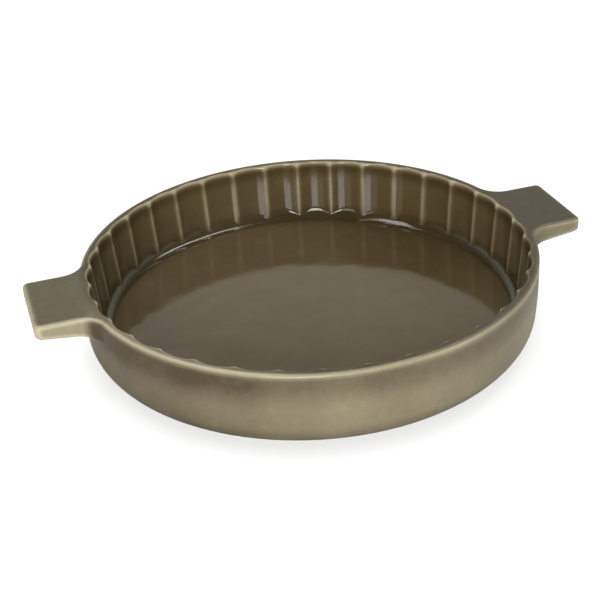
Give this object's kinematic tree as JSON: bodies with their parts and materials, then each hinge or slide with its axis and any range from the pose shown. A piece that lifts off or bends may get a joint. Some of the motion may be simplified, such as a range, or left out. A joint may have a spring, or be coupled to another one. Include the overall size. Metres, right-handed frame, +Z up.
{
  "type": "fluted quiche dish",
  "caption": "Round glazed stoneware quiche dish with upright fluted inner sides, a smooth outside, a bare foot ring and two flat lug handles.",
  "frame": {"origin": "on the surface the dish stands on, under the middle of the dish", "axes": "+Z up, +X along the two handles to the right handle, +Y to the back"},
  "size_m": [0.368, 0.3, 0.0535],
  "materials": {
    "stoneware": "bare fired stoneware, matt, showing on the foot ring and the underside only",
    "inner_glaze": "olive brown glossy glaze, paler where it is thin over ridges and lip",
    "outer_glaze": "olive grey satin glaze, paler where it is thin over edges"
  },
  "bodies": {
    "root": {"dish_body": "stoneware", "left_handle": "stoneware", "right_handle": "stoneware", "inner_glaze": "inner_glaze", "outer_glaze": "outer_glaze"}
  },
  "joints": []
}
